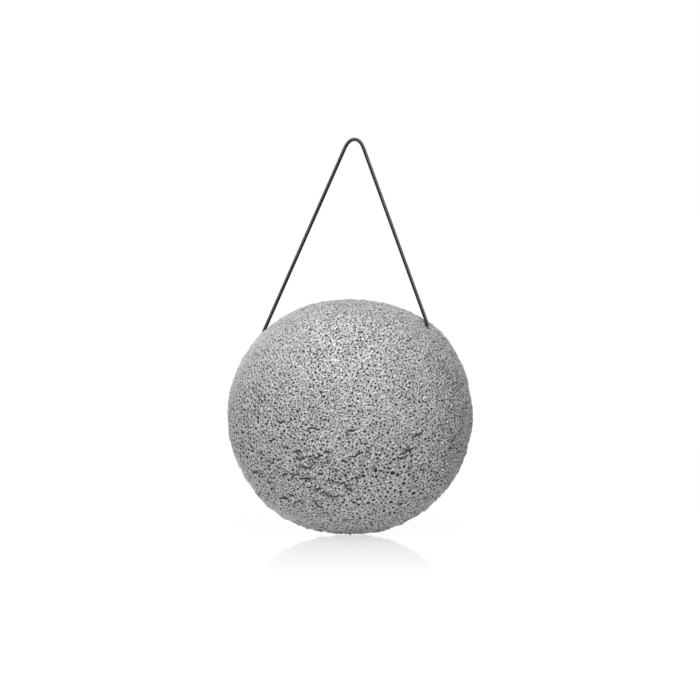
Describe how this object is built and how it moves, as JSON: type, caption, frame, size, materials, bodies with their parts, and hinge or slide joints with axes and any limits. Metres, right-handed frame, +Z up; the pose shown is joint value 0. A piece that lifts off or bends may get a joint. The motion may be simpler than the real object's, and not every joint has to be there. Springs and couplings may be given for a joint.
{
  "type": "konjac sponge",
  "caption": "Half-ball facial sponge of grey porous konjac foam, hung by a thin cord loop that is threaded through the foam and knotted inside it.",
  "frame": {"origin": "the point inside the top of the cord loop where a hook bears", "axes": "+Z up along the hanging line, -Y the side that the dome faces, +X to the right as seen from the dome's side"},
  "size_m": [0.08, 0.044, 0.1298],
  "materials": {
    "foam": "matte",
    "cord": "matte"
  },
  "bodies": {
    "loop": {"hanging_loop": "cord"},
    "sponge": {"foam_body": "foam", "left_cord_end": "cord", "right_cord_end": "cord", "knot_turns": "cord"}
  },
  "joints": [
    {"name": "sponge_swing", "type": "hinge", "parent": "loop", "child": "sponge", "pos_m": [-0.00315, 0.00039, -0.06135], "axis": [0.9918, -0.1218, 0.0385], "range_deg": [-50, 50]}
  ]
}
